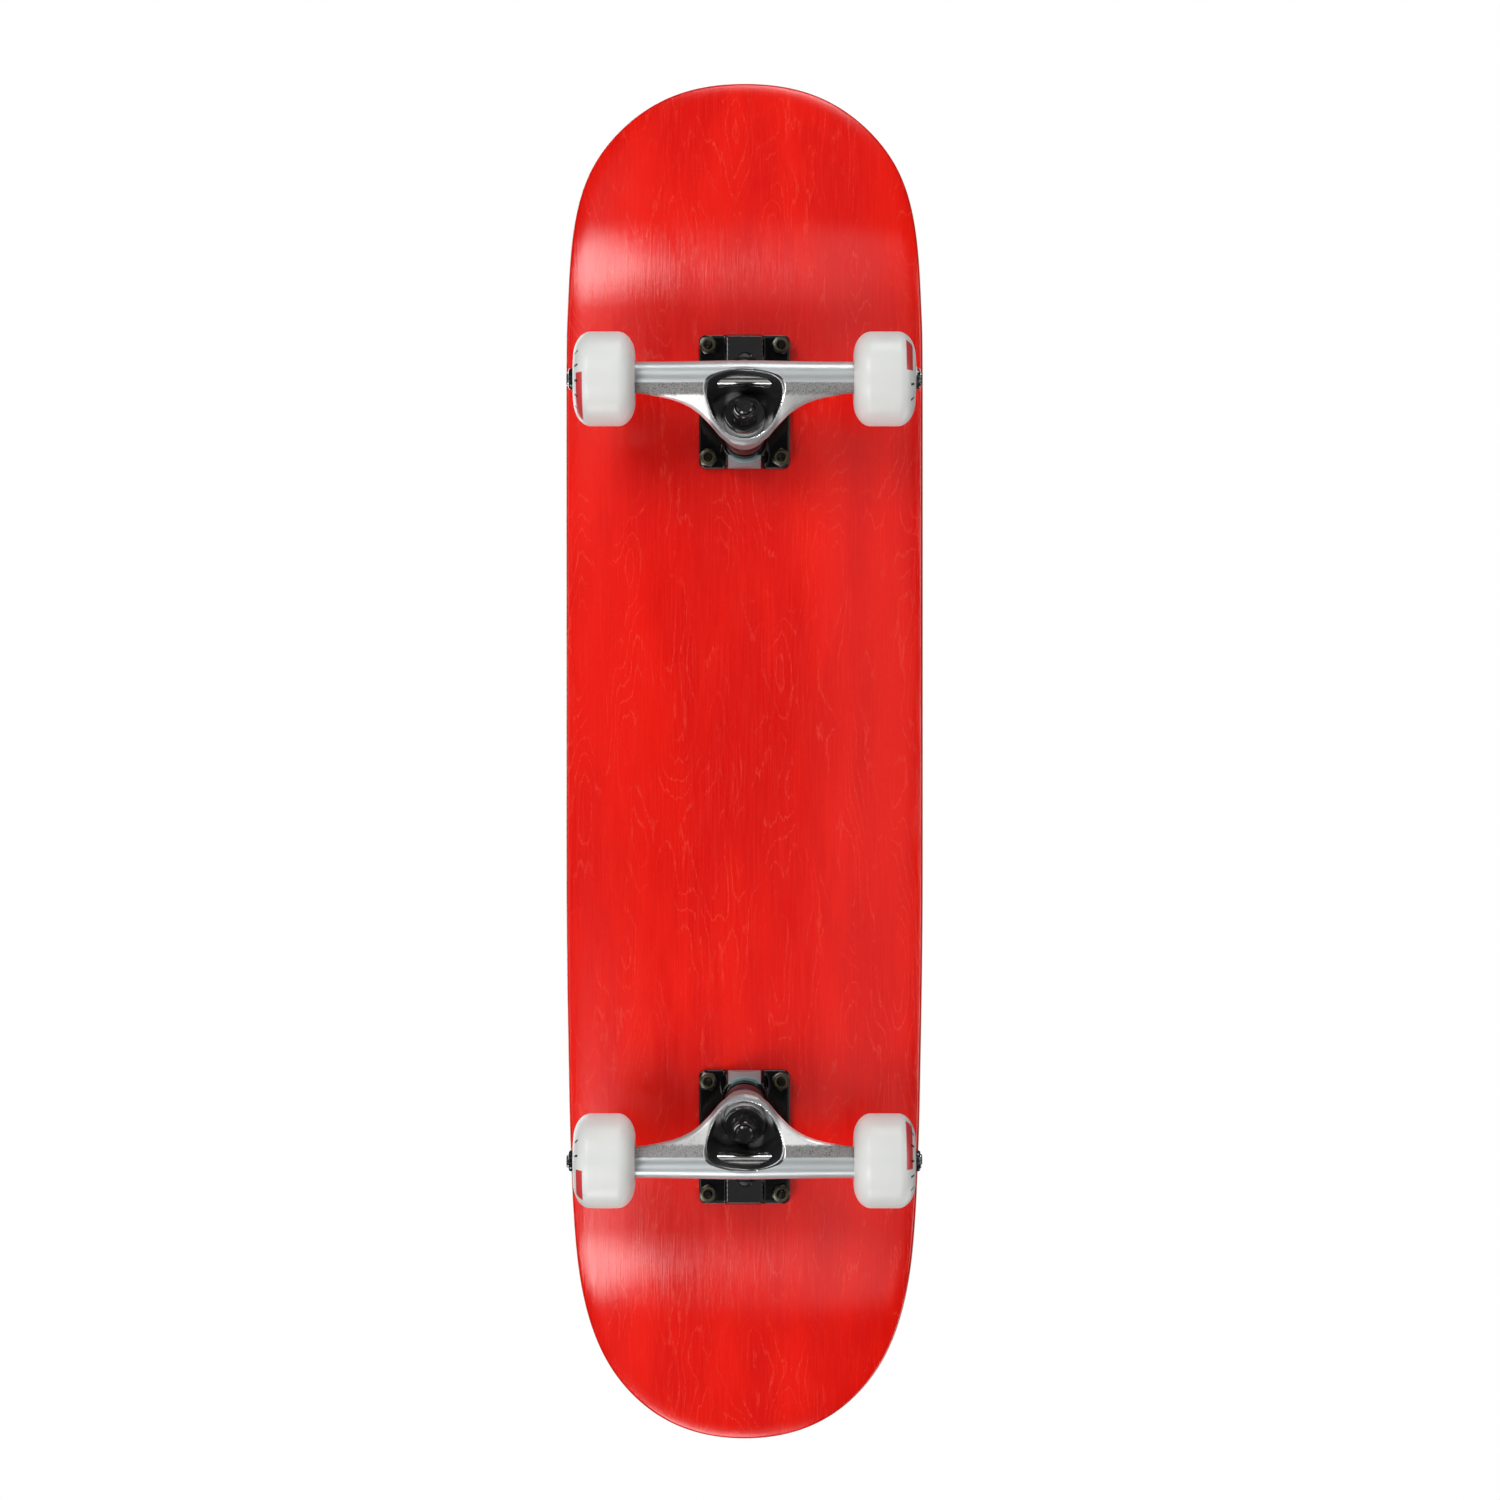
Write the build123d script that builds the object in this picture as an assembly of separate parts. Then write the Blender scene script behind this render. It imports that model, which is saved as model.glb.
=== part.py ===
"""Popsicle skateboard: seven-ply deck, two trucks, four wheels on ball bearings.

Row frame, millimetres: +X to the nose, +Y to the left, +Z up.
The origin is on the ground under the middle of the board.
"""

from build123d import *
from math import acos, asin, cos, degrees, pi, radians, sin, sqrt
import os

# Deck
deck_width = 203.2
deck_length = 783.0
ply_count = 7
ply_thickness = 1.57
grip_thickness = 0.9
ground_clearance = 79.0
kick_angle = 20.0
kick_radius = 150.0
nose_kick_start = 256.0
tail_kick_start = 266.0
flat_half_width = 31.0
rail_radius = 300.0

# Trucks
front_centre_x = 203.0
rear_centre_x = -212.7
bolt_spacing_x = 63.5
bolt_spacing_y = 41.3
plate_length = 75.8
plate_width = 51.6
plate_thickness = 4.6
axle_offset = 7.8
axle_drop = 53.0
axle_radius = 3.97
axle_length = 196.0
hanger_width = 128.4
kingpin_lean = 22.0
kingpin_radius = 4.76
kingpin_top_x = -31.45
ring_distance = 38.8
pivot_rise = 30.0
pivot_reach = 49.0

# Mounting hardware
screw_radius = 2.4
screw_hole_radius = 2.6
screw_head_radius = 4.6
screw_head_depth = 2.9
screw_length = 25.0
lock_nut_flats = 9.5
lock_nut_height = 5.6

# Wheels
wheel_radius = 26.0
wheel_width = 34.0
wheel_centre_y = 77.2
bearing_outer_radius = 11.0
bearing_bore_radius = 4.0
bearing_width = 7.0
bearing_centre_offset = 8.5
ball_radius = 1.984
ball_pitch_radius = 7.5
ball_count = 7
groove_radius = 2.03
washer_thickness = 1.0

deck_thickness = ply_count * ply_thickness
deck_top = ground_clearance + deck_thickness
under = ground_clearance


def save(shape, name):
    export_step(Compound(children=list(shape)) if isinstance(shape, list) else shape, f"parts/{name}.step")


def turned(points, plane=Plane.XZ):
    """Solid of revolution about Z from a closed polygon of (radius, height) points."""
    outline = make_face(Polyline(*[(r, h) for r, h in points], close=True))
    return revolve(plane * outline, Axis.Z)


def tube(outer, inner, low, high):
    return turned([(inner, low), (outer, low), (outer, high), (inner, high)])


def hexagon(flats, height):
    return extrude(RegularPolygon(flats / sqrt(3), 6), height)


# ---------------------------------------------------------------- deck

def plan_outline(inset=0.0):
    """Plan view of the deck: a round nose and a more tapered tail."""
    nose = deck_length / 2 - inset
    half = deck_width / 2 - inset
    right = [
        (nose, 0),
        (376.3 - inset, 55.8 - inset * 0.6),
        (347.4 - inset * 0.8, 83.9 - inset * 0.8),
        (311.4, 96.6 - inset),
        (262.0, 100.6 - inset),
        (190.0, half),
        (-60.0, half),
        (-190.0, 99.9 - inset),
        (-262.8, 97.1 - inset),
        (-312.2, 90.6 - inset),
        (-348.3 + inset * 0.8, 76.9 - inset * 0.8),
        (-377.3 + inset, 49.8 - inset * 0.6),
        (-nose, 0),
    ]
    bow = Spline(*right[:6], tangents=[(0, 1), (-1, 0)])
    flank = Line(right[5], right[6])
    stern = Spline(*right[6:], tangents=[(-1, 0), (0, -1)])
    half_edge = [bow, flank, stern]
    other = [mirror(edge, Plane.XZ) for edge in half_edge]
    return make_face(half_edge + other)


def cross_section(low, high):
    """Section of one layer: flat in the middle, rails curving up at each side."""
    reach = deck_width / 2 + 6
    centre_z = deck_top + rail_radius
    angle = degrees((reach - flat_half_width) / rail_radius)

    def on_rail(level, side, turn):
        radius = centre_z - level
        return (side * (flat_half_width + radius * sin(radians(turn))), centre_z - radius * cos(radians(turn)))

    def rail(level, side):
        return ThreePointArc(on_rail(level, side, 0), on_rail(level, side, angle / 2), on_rail(level, side, angle))

    edges = [
        Line(on_rail(low, -1, 0), on_rail(low, 1, 0)),
        rail(low, 1),
        Line(on_rail(low, 1, angle), on_rail(high, 1, angle)),
        rail(high, 1),
        Line(on_rail(high, 1, 0), on_rail(high, -1, 0)),
        rail(high, -1),
        Line(on_rail(high, -1, angle), on_rail(low, -1, angle)),
        rail(low, -1),
    ]
    return make_face(edges)


def bent_layer(low, high):
    """One layer pressed over the whole mould: middle, two bends, two kicks."""
    section = cross_section(low, high)
    middle = Plane.YZ.offset(-tail_kick_start) * section
    body = extrude(middle, nose_kick_start + tail_kick_start)
    hinge_z = deck_top + kick_radius
    pieces = [body]
    for start, side in ((nose_kick_start, 1), (-tail_kick_start, -1)):
        face = Plane.YZ.offset(start) * section
        bend_axis = Axis((start, 0, hinge_z), (0, -side, 0))
        bend = revolve(face, bend_axis, kick_angle)
        end = face.rotate(bend_axis, kick_angle)
        heading = Vector(side * cos(radians(kick_angle)), 0, sin(radians(kick_angle)))
        kick = extrude(end, 130, dir=heading)
        pieces += [bend, kick]
    return pieces[0].fuse(*pieces[1:])


def bolt_points(centre_x):
    for sx in (-1, 1):
        for sy in (-1, 1):
            yield centre_x + sx * bolt_spacing_x / 2, sy * bolt_spacing_y / 2


def all_bolt_points():
    yield from bolt_points(front_centre_x)
    yield from bolt_points(rear_centre_x)


def screw_clearance():
    """Straight holes through the deck, countersunk for the screw heads."""
    top = deck_top + grip_thickness
    sunk = 0.35
    head = screw_head_radius + 0.25
    profile = [
        (0, under - 1),
        (screw_hole_radius, under - 1),
        (screw_hole_radius, top - sunk - screw_head_depth),
        (head, top - sunk - 0.3),
        (head, top + 20),
        (0, top + 20),
    ]
    cutter = turned(profile)
    return [Pos(x, y, 0) * cutter for x, y in all_bolt_points()]


edge_insets = (1.5, 0.5, 0.1, 0.0, 0.1, 0.5, 1.5)


def ply(index):
    low = ground_clearance + index * ply_thickness
    layer = bent_layer(low, low + ply_thickness)
    blank = extrude(Pos(0, 0, 60) * plan_outline(edge_insets[index]), 120)
    return (layer & blank) - screw_clearance()


def grip_tape():
    layer = bent_layer(deck_top, deck_top + grip_thickness)
    blank = extrude(Pos(0, 0, 60) * plan_outline(edge_insets[-1] + 0.3), 120)
    return (layer & blank) - screw_clearance()


def mounting_screws():
    top = deck_top + grip_thickness - 0.35
    profile = [
        (0, top - screw_length),
        (screw_radius - 0.5, top - screw_length),
        (screw_radius, top - screw_length + 0.6),
        (screw_radius, top - screw_head_depth),
        (screw_head_radius, top - 0.3),
        (screw_head_radius, top),
        (0, top),
    ]
    blade = Box(5.2, 1.1, 2.4)
    recess = Pos(0, 0, top) * (blade + Rot(0, 0, 90) * blade)
    screw = turned(profile) - recess
    return [Pos(x, y, 0) * screw for x, y in all_bolt_points()]


def lock_nuts():
    """Hex nuts with a raised collar that holds the locking ring."""
    seat = under - plate_thickness
    body = hexagon(lock_nut_flats, lock_nut_height - 1.6)
    body = body & turned([(0, 0), (5.5, 0), (5.5, 3.3), (4.6, 4.2), (0, 4.2)])
    collar = extrude(Circle(4.1), lock_nut_height - 0.4)
    nut = body + fillet(collar.edges().group_by(Axis.Z)[-1], 0.7)
    nut = nut - Cylinder(screw_radius + 0.05, 30)
    return [Pos(x, y, seat) * Rot(180, 0, 0) * nut for x, y in all_bolt_points()]


# ---------------------------------------------------------------- truck
# Trucks are drawn with +X outboard, Y across and the deck's underside at Z = 0.

lean = radians(kingpin_lean)
ring_x = kingpin_top_x + ring_distance * sin(lean)
ring_z = -ring_distance * cos(lean)
ring_frame = Plane(
    origin=(ring_x, 0, ring_z),
    x_dir=(cos(lean), 0, sin(lean)),
    z_dir=(sin(lean), 0, -cos(lean)),
)
rise = radians(pivot_rise)
pivot_frame = Plane(
    origin=(ring_x + pivot_reach * cos(rise), 0, ring_z + pivot_reach * sin(rise)),
    x_dir=(0, 1, 0),
    z_dir=(cos(rise), 0, sin(rise)),
)
axle_frame = Plane(origin=(axle_offset, 0, -axle_drop), x_dir=(1, 0, 0), z_dir=(0, 1, 0))

# Distances along the kingpin from the middle of the ring, towards the road.
boss_seat = -18.5
board_washer = (-18.5, -17.0)
board_bushing = (-17.0, -4.0)
ring_web = (-4.0, 4.0)
road_bushing = (4.0, 14.5)
road_washer = (14.5, 16.0)
nut_span = (16.0, 23.5)
kingpin_end = 25.4
head_seat = boss_seat - 9.5


def along_kingpin(shape):
    return ring_frame.location * shape


def baseplate():
    plate = extrude(Pos(0, 0, -plate_thickness) * RectangleRounded(plate_length, plate_width, 4), plate_thickness)
    plate = fillet(plate.edges().group_by(Axis.Z)[0], 1.0)
    end = plate_length / 2
    below = Pos(0, 0, -50) * Box(plate_length, 200, 100)
    boss = along_kingpin(Pos(0, 0, boss_seat - 30) * extrude(Circle(12.8), 30)) & below
    rib_side = Polyline((-end, 0), (-end, -5.0), (-31.6, -22.0), (-14.0, -14.9), (-4.0, -4.0), (-4.0, 0), close=True)
    rib = extrude(Plane.XZ * make_face(rib_side), 9.4, both=True)
    rib = chamfer(rib.edges().filter_by(Axis.X, tolerance=75).filter_by(GeomType.LINE).group_by(Axis.Z)[0], 1.2)
    housing_side = Polyline((end, 0), (end, -9.0), (35.5, -19.0), (20.0, -22.0), (11.0, -14.0), (7.0, 0), close=True)
    housing = extrude(Plane.XZ * make_face(housing_side), 10.4, both=True)
    housing = fillet(housing.edges().filter_by(Axis.Y).group_by(Axis.Z)[0], 3.0)
    bridge = Pos(0, 0, -4.5) * Box(30, 8, 9)
    body = plate + boss + rib + housing + bridge
    kingpin_hole = along_kingpin(Pos(0, 0, boss_seat - 40) * extrude(Circle(kingpin_radius + 0.05), 50))
    head_pocket = along_kingpin(Pos(0, 0, head_seat - 40) * extrude(Circle(8.6), 40.05))
    head_pocket = head_pocket & Pos(0, 0, -20) * Box(plate_length - 1.6, 60, 60)
    cup_pocket = pivot_frame.location * (Pos(0, 0, -7.0) * extrude(Circle(8.0), 13.0))
    nose_room = pivot_frame.location * turned([(0, -7), (8.0, -7), (14.0, -24), (0, -24)])
    holes = [Pos(x, y, -3) * Cylinder(screw_hole_radius, 10) for x, y in bolt_points(0)]
    washer_room = along_kingpin(Pos(0, 0, boss_seat) * extrude(Circle(12.2), 12.0))
    return body - kingpin_hole - head_pocket - cup_pocket - nose_room - holes - washer_room


def pivot_cup():
    """Soft cup pressed into the baseplate; the hanger's nose turns inside it."""
    outside = Pos(0, 0, -6.9) * extrude(Circle(7.95), 12.8)
    hollow = nose_shape(0.05)
    return pivot_frame.location * (outside - hollow)


def nose_shape(gap=0.0):
    """The hanger's pivot nose, pointing along +Z with the tip's centre at the origin."""
    tip = 4.4 + gap
    ball = Sphere(tip)
    neck = turned([(0, 0), (tip, 0), (5.4 + gap, -9), (9.0, -26), (0, -26)])
    return ball + neck


def kingpin():
    head = along_kingpin(Pos(0, 0, head_seat - 5.6) * Rot(0, 0, 30) * hexagon(14.2, 5.6))
    shank = along_kingpin(Pos(0, 0, head_seat) * extrude(Circle(kingpin_radius), kingpin_end - head_seat))
    shank = chamfer(shank.edges().filter_by(GeomType.CIRCLE).sort_by(Axis.Z)[0], 0.8)
    return head + shank


def kingpin_nut():
    low, high = nut_span
    height = high - low
    body = hexagon(14.2, height - 2.0)
    body = body & turned([(0, 0), (8.2, 0), (8.2, height - 3.0), (7.1, height - 2.0), (0, height - 2.0)])
    collar = extrude(Circle(6.4), height)
    collar = fillet(collar.edges().group_by(Axis.Z)[-1], 1.0)
    nut = body + collar - Cylinder(kingpin_radius + 0.05, 60)
    return along_kingpin(Pos(0, 0, low) * nut)


def cup_washer(radius, low, high, lip):
    """Dished washer; its lip wraps the end of the bushing."""
    base = tube(radius, kingpin_radius + 0.1, low, high)
    edge_low, edge_high = (low + lip, high) if lip < 0 else (low, high + lip)
    skirt = tube(radius, radius - 0.9, edge_low, edge_high)
    washer = base + skirt
    rim = washer.edges().filter_by(GeomType.CIRCLE).group_by(Axis.Z)
    corner = rim[-1] if lip < 0 else rim[0]
    washer = fillet(corner.sort_by(SortBy.RADIUS)[-1], 0.7)
    return along_kingpin(washer)


def board_side_bushing():
    low, high = board_bushing
    bore = kingpin_radius + 0.12
    profile = [
        (bore, low),
        (10.0, low),
        (10.0, low + 2.2),
        (11.6, low + 4.5),
        (11.6, high - 4.5),
        (11.2, high - 3.0),
        (11.2, high),
        (bore, high),
    ]
    return along_kingpin(turned(profile))


def road_side_bushing():
    low, high = road_bushing
    bore = kingpin_radius + 0.12
    profile = [
        (bore, low),
        (11.1, low),
        (11.1, low + 4.2),
        (10.2, high - 2.0),
        (10.2, high),
        (bore, high),
    ]
    return along_kingpin(turned(profile))


def arm_section(y, bar_x, bar_radius, toe_x, toe_depth, toe_radius):
    """Teardrop round the axle with a toe reaching towards the ring."""
    reach = sqrt((bar_x - toe_x) ** 2 + (toe_depth - axle_drop) ** 2)
    heading = pi + asin((toe_depth - axle_drop) / reach)
    spread = acos((bar_radius - toe_radius) / reach)

    def point(cx, cz, radius, turn):
        return (cx + radius * cos(turn), y, cz + radius * sin(turn))

    bar = (bar_x, -axle_drop, bar_radius)
    toe = (toe_x, -toe_depth, toe_radius)
    one, two = heading - spread, heading + spread
    edges = [
        ThreePointArc(point(*bar, two), point(*bar, heading + pi), point(*bar, one)),
        Line(point(*bar, one), point(*toe, one)),
        ThreePointArc(point(*toe, one), point(*toe, heading), point(*toe, two)),
        Line(point(*toe, two), point(*bar, two)),
    ]
    return make_face(edges)


# Distance from the middle, bar centre, bar radius, toe centre, toe depth, toe radius.
arm_stations = (
    (0.0, 8.8, 9.2, -23.3, 44.7, 6.0),
    (7.7, 8.8, 9.2, -22.2, 45.2, 5.7),
    (13.4, 8.8, 9.1, -18.2, 46.9, 5.5),
    (19.0, 8.8, 9.0, -12.2, 49.4, 5.0),
    (24.7, 8.8, 8.9, -7.0, 51.5, 4.6),
    (29.5, 8.8, 8.8, -3.7, 52.5, 4.5),
    (34.6, 8.8, 8.7, -1.2, 53.2, 4.4),
    (40.0, 8.8, 8.6, 0.6, 53.6, 4.35),
    (45.7, 8.8, 8.5, 1.9, 53.8, 4.3),
    (54.0, 8.9, 8.4, 3.4, 53.8, 4.2),
    (hanger_width / 2, 9.0, 8.2, 4.5, 53.7, 4.0),
)


def arms():
    """The hanger's two arms and the plate between them and the ring, as one body."""
    ends = [(-y, *rest) for y, *rest in reversed(arm_stations[1:])] + list(arm_stations)
    return loft([arm_section(*station) for station in ends], ruled=True)


def nose_web():
    """Ridge joining the ring and the arms to the pivot nose."""
    side = make_face(Polyline((-16, -31), (-2, -20), (9, -23), (15, -36), (15, -50), (0, -52), (-14, -44), close=True))
    side = fillet(side.vertices(), 2.5)
    return extrude(Plane.XZ * side, 7.6, both=True)


def pocket_outline(distance, points):
    face = Plane(ring_frame.origin + ring_frame.z_dir * distance, x_dir=ring_frame.x_dir, z_dir=ring_frame.z_dir)
    around = points + [(t, -y) for t, y in reversed(points[1:-1])]
    return face * make_face(Spline(*around, periodic=True))


def pocket():
    """Dished opening for the road-side bushing, washer and nut, wide enough for the lean."""
    low = pocket_outline(8.0, [(11.7, 0), (9.2, 10.2), (1.0, 14.2), (-8.4, 10.6), (-11.5, 5.0), (-12.2, 0)])
    high = pocket_outline(38.0, [(18.2, 0), (16.4, 12.5), (9.0, 24.5), (-7.0, 19.5), (-12.6, 9.0), (-13.8, 0)])
    seat = along_kingpin(Pos(0, 0, 4.0) * extrude(Circle(11.5), 5))
    return loft([low, high]) + seat


def ring_and_shoulder():
    """Flared ring and the wall round the lower part of the pocket, trimmed level with its rim."""
    ring = along_kingpin(turned([(0, -4.0), (12.6, -4.0), (15.6, 8.0), (0, 8.0)]))
    low = pocket_outline(1.0, [(15.5, 0), (13.4, 12.0), (1.0, 15.6), (-8.6, 11.4), (-13.8, 0)])
    high = pocket_outline(15.0, [(15.5, 0), (13.4, 12.0), (1.0, 18.2), (-10.8, 14.0), (-17.6, 0)])
    above_rim = along_kingpin(Pos(-13.9, 0, 8.0) * Rot(0, -39.7, 0) * Pos(0, 0, 25) * Box(200, 100, 50))
    return ring + loft([low, high]) - above_rim


def hanger():
    nose = pivot_frame.location * nose_shape()
    body = arms() + ring_and_shoulder() + nose_web() + nose
    rim_step = along_kingpin(Pos(0, 0, 5.4) * extrude(Circle(13.2), 4.0))
    kingpin_hole = along_kingpin(Cylinder(7.6, 60))
    boss_room = along_kingpin(Pos(0, 0, -40.0) * extrude(Circle(17.0), 36.0))
    axle_bore = axle_frame.location * Cylinder(axle_radius + 0.01, 300)
    return body - pocket() - rim_step - kingpin_hole - boss_room - axle_bore


def axle():
    rod = Cylinder(axle_radius, axle_length)
    rod = chamfer(rod.edges().filter_by(GeomType.CIRCLE), 0.7)
    return axle_frame.location * rod


def both_ends(shape):
    """The same piece at both wheels of one truck, drawn at the +Y end along +Z."""
    left = axle_frame.location * shape
    return [left, mirror(left, Plane.XZ)]


outer_washer = wheel_centre_y + bearing_centre_offset + bearing_width / 2
inner_washer = wheel_centre_y - bearing_centre_offset - bearing_width / 2 - washer_thickness


def axle_nuts():
    low = outer_washer + washer_thickness
    body = hexagon(12.7, 5.0)
    body = body & turned([(0, 0), (7.3, 0), (7.3, 4.2), (6.5, 5.0), (0, 5.0)])
    collar = extrude(Circle(5.8), 6.8)
    collar = fillet(collar.edges().group_by(Axis.Z)[-1], 0.9)
    nut = body + collar - Cylinder(axle_radius + 0.05, 30)
    return both_ends(Pos(0, 0, low) * nut)


def speed_washers():
    solids = []
    for low in (inner_washer, outer_washer):
        solids += both_ends(tube(5.6, axle_radius + 0.05, low, low + washer_thickness))
    return solids


def bearing_offsets():
    for side in (-1, 1):
        yield wheel_centre_y + side * bearing_centre_offset


def ball_groove():
    return Torus(ball_pitch_radius, groove_radius)


def inner_races():
    half = bearing_width / 2
    race = tube(5.9, axle_radius + 0.05, -half, half) - ball_groove()
    solids = []
    for offset in bearing_offsets():
        solids += both_ends(Pos(0, 0, offset) * race)
    return solids


def spacers():
    gap = bearing_centre_offset - bearing_width / 2
    return both_ends(tube(5.4, axle_radius + 0.1, wheel_centre_y - gap, wheel_centre_y + gap))


# ---------------------------------------------------------------- wheels
# Wheels are drawn about the Z axis with the outer face towards +Z.

def wheel():
    half = wheel_width / 2
    tread = 7.4
    lip_radius = 12.6
    seat = bearing_centre_offset + bearing_width / 2
    stop = bearing_centre_offset - bearing_width / 2
    shoulder = [(wheel_radius, tread), (25.19, 10.68), (22.07, 14.19), (17.18, 16.42), (lip_radius, half)]
    outline = [
        Line((wheel_radius, -tread), (wheel_radius, tread)),
        Spline(*shoulder, tangents=[(0, 1), (-1, 0)]),
        Line((lip_radius, half), (bearing_outer_radius + 0.6, seat + 0.6)),
        Line((bearing_outer_radius + 0.6, seat + 0.6), (bearing_outer_radius, seat)),
        Line((bearing_outer_radius, seat), (bearing_outer_radius, stop)),
        Line((bearing_outer_radius, stop), (9.0, stop)),
        Line((9.0, stop), (9.0, -stop)),
    ]
    lower = [mirror(edge, Plane.XY) for edge in (Plane.XZ * e for e in outline[1:6])]
    upper = [Plane.XZ * e for e in outline]
    return revolve(make_face(upper + lower), Axis.Z)


def outer_races():
    half = bearing_width / 2
    race = tube(bearing_outer_radius, 9.1, -half, half) - ball_groove()
    shield_step = tube(9.6, 9.0, half - 0.7, half + 1)
    race = race - shield_step - mirror(shield_step, Plane.XY)
    return [Pos(0, 0, side * bearing_centre_offset) * race for side in (-1, 1)]


def shields():
    half = bearing_width / 2
    plate = tube(9.58, 6.15, half - 0.65, half - 0.2)
    pair = [plate, mirror(plate, Plane.XY)]
    return [Pos(0, 0, side * bearing_centre_offset) * s for side in (-1, 1) for s in pair]


def balls():
    solids = []
    for side in (-1, 1):
        for step in range(ball_count):
            turn = Rot(0, 0, step * 360 / ball_count)
            solids.append(Pos(0, 0, side * bearing_centre_offset) * turn * Pos(ball_pitch_radius, 0, 0) * Sphere(ball_radius))
    return solids


def cages():
    """Crown cage: a ring on one side of the balls with fingers between them."""
    crown = tube(8.1, 6.9, -2.6, 1.2)
    for step in range(ball_count):
        crown = crown - Rot(0, 0, step * 360 / ball_count) * Pos(ball_pitch_radius, 0, 0) * Sphere(ball_radius + 0.06)
    return [Pos(0, 0, side * bearing_centre_offset) * crown for side in (-1, 1)]


def mount_wheel(solids, truck_x, outward, side):
    """Puts wheel pieces on the axle of a truck, side +1 for the board's left."""
    facing = -90 if side > 0 else 90
    spot = Pos(truck_x + outward * axle_offset, side * wheel_centre_y, under - axle_drop)
    return [spot * Rot(facing, 0, 0) * s for s in solids]


def place_truck(shape, end):
    turn = Rot(0, 0, 0 if end == "front" else 180)
    centre = front_centre_x if end == "front" else rear_centre_x
    spot = Pos(centre, 0, under) * turn
    if isinstance(shape, list):
        return [spot * s for s in shape]
    return spot * shape


def build_deck():
    plies = [ply(index) for index in range(ply_count)]
    save(plies[0], "deck_bottom_ply")
    save(plies[1:-1], "deck_core_plies")
    save(plies[-1], "deck_top_ply")
    save(grip_tape(), "grip_tape")
    save(mounting_screws(), "mounting_screws")
    save(lock_nuts(), "lock_nuts")


def build_trucks():
    pieces = {
        "baseplate": baseplate(),
        "pivot_cup": pivot_cup(),
        "kingpin": kingpin(),
        "kingpin_nut": kingpin_nut(),
        "washer_board_side": cup_washer(11.0, *board_washer, 1.6),
        "washer_road_side": cup_washer(11.3, *road_washer, -1.8),
        "bushing_board_side": board_side_bushing(),
        "bushing_road_side": road_side_bushing(),
        "hanger": hanger(),
        "axle": axle(),
        "axle_nuts": axle_nuts(),
        "speed_washers": speed_washers(),
        "bearing_inner_races": inner_races(),
        "bearing_spacers": spacers(),
    }
    for end in ("front", "rear"):
        for name, shape in pieces.items():
            save(place_truck(shape, end), f"{end}_{name}")


def build_wheels():
    pieces = {
        "wheel": [wheel()],
        "bearing_outer_races": outer_races(),
        "bearing_shields": shields(),
        "bearing_balls": balls(),
        "bearing_cages": cages(),
    }
    for end, centre, outward in (("front", front_centre_x, 1), ("rear", rear_centre_x, -1)):
        for hand, side in (("left", 1), ("right", -1)):
            for name, solids in pieces.items():
                save(mount_wheel(solids, centre, outward, side), f"{end}_{hand}_{name}")


os.makedirs("parts", exist_ok=True)
build_deck()
build_trucks()
build_wheels()
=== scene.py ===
"""Finished looks of the popsicle skateboard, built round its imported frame.

Row frame, metres: +X to the nose, +Y to the left, +Z up, ground at Z = 0.
"""

import math

import bmesh
import bpy
import numpy as np
from mathutils import Matrix, Vector


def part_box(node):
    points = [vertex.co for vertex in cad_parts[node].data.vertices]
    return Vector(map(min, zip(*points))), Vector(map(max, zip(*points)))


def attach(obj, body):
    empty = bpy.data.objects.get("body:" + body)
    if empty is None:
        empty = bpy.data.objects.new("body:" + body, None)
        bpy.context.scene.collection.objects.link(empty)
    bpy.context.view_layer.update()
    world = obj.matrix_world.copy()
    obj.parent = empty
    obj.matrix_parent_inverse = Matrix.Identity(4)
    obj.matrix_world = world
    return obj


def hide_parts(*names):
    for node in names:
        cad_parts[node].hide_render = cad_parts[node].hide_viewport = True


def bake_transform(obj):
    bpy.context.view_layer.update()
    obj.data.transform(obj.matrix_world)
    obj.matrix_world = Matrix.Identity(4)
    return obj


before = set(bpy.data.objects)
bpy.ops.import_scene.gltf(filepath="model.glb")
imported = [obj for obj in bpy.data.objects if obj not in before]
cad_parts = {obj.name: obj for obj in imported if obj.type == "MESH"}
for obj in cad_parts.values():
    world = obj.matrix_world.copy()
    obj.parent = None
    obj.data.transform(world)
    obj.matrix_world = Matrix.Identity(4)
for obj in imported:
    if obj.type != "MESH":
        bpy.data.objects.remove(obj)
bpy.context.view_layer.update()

MM = 0.001

# Deck mould, millimetres
PLY = 1.57
PLIES = 7
DECK_THICKNESS = PLY * PLIES
GRIP = 0.9
KICK_ANGLE = math.radians(20.0)
KICK_RADIUS = 150.0
NOSE_KICK_START = 256.0
TAIL_KICK_START = 266.0
FLAT_HALF_WIDTH = 31.0
RAIL_RADIUS = 300.0
EDGE_ROUND = 3.4
EDGE_DEPTH = 1.9
SPINE_END = 296.0

# Bolt pattern and the hardware in it, millimetres
BOLT_SPACING = (63.5, 41.3)
SCREW_HOLE = 2.6
SCREW_HEAD = 4.85
SCREW_HEAD_DEPTH = 2.9
SCREW_SINK = 0.35

# Truck, millimetres from the plate's centre and the deck's underside
KINGPIN_LEAN = math.radians(22.0)
RING_X = -16.915
RING_Z = -35.975
PLATE_THICKNESS = 4.6
HANGER_HALF = 64.2

# Kingpin stack, millimetres along the kingpin from the ring's middle
BARREL_SEAT = -17.0
CONE_SEAT = 14.5
RING_FACE = 4.05
BUSHING_BORE = 4.9
LEANING_BORE = 5.8
KINGPIN_NUT_SEAT = 16.0

# Dished pocket round the kingpin, millimetres: half-widths where it starts and how they grow
POCKET_START = 8.0
POCKET_DEPTH = 30.0
POCKET_SHIFT = (1.0, 8.0)
POCKET_AHEAD = (10.7, -1.5)
POCKET_BEHIND = (13.2, 9.6)
POCKET_SIDE = (14.2, 10.3)

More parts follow.
